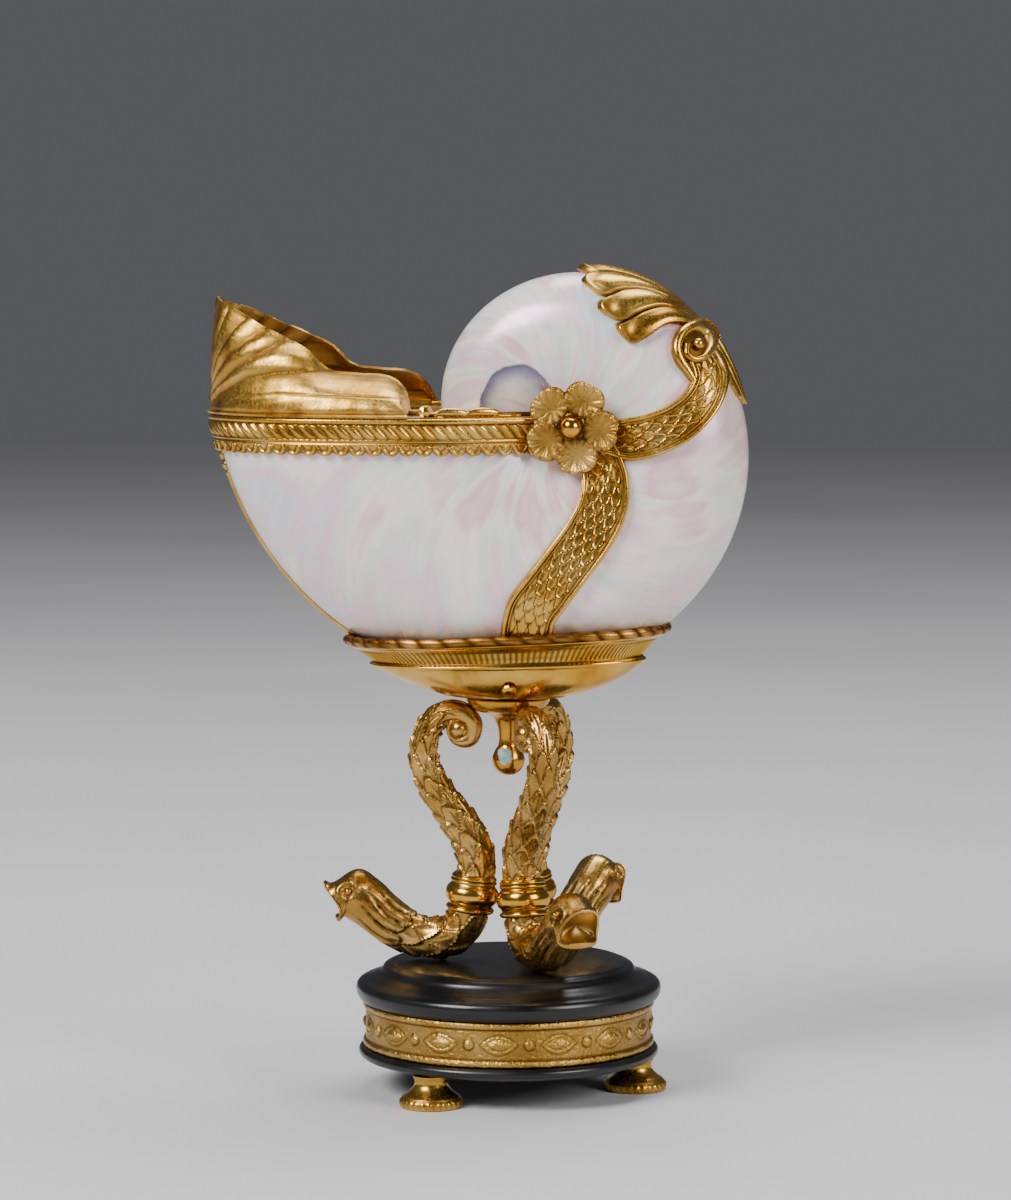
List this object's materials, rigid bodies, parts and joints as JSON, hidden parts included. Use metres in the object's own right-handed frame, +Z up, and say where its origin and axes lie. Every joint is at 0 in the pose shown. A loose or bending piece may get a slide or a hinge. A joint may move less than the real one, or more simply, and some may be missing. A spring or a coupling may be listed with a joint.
{
  "type": "mounted nautilus shell cup",
  "caption": "Polished nautilus shell set mouth-up as a cup, with a hinged hood, scaled straps, an oval dish, dolphin supports and a round footed socle.",
  "frame": {"origin": "under the middle of the whole cup, on the surface it stands on", "axes": "+Z up, -X towards the prow of the shell, Y across it; the stem axis is at X = 9.9 mm"},
  "size_m": [0.1752, 0.1074, 0.2663],
  "materials": {
    "nacre": "polished mother-of-pearl, white with a soft pink and green sheen and fine growth lines",
    "gilt": "gilt metal, embossed or chased, bright on the high places and brown in the recesses",
    "matte_gilt": "gilt metal with a fine scratched satin face",
    "black_wood": "turned wood stained black and polished"
  },
  "bodies": {
    "cup": {"nautilus_shell": "nacre", "rim_band": "gilt", "upper_strap_near": "gilt", "upper_strap_far": "gilt", "lower_strap_near": "gilt", "lower_strap_far": "gilt", "crest": "gilt", "keel_strap": "gilt", "rosette_near": "matte_gilt", "rosette_far": "matte_gilt", "rosette_pin_near": "gilt", "rosette_pin_far": "gilt", "hinge_pin_near": "gilt", "hinge_pin_far": "gilt", "mouth_plate": "gilt", "dish": "gilt", "dish_rope": "gilt", "dish_screw": "gilt", "stem": "gilt", "dolphin_tail_1": "gilt", "dolphin_tail_2": "gilt", "dolphin_tail_3": "gilt", "dolphin_collar_1": "gilt", "dolphin_collar_2": "gilt", "dolphin_collar_3": "gilt", "dolphin_body_1": "gilt", "dolphin_body_2": "gilt", "dolphin_body_3": "gilt", "socle_top": "black_wood", "socle_band": "gilt", "socle_plinth": "black_wood", "foot_1": "gilt", "foot_2": "gilt", "foot_3": "gilt"},
    "lid": {"lid": "gilt"}
  },
  "joints": [
    {"name": "lid_hinge", "type": "hinge", "parent": "cup", "child": "lid", "pos_m": [-0.01245, 0, 0.2201], "axis": [0, 1, 0], "range_deg": [0, 60]}
  ]
}
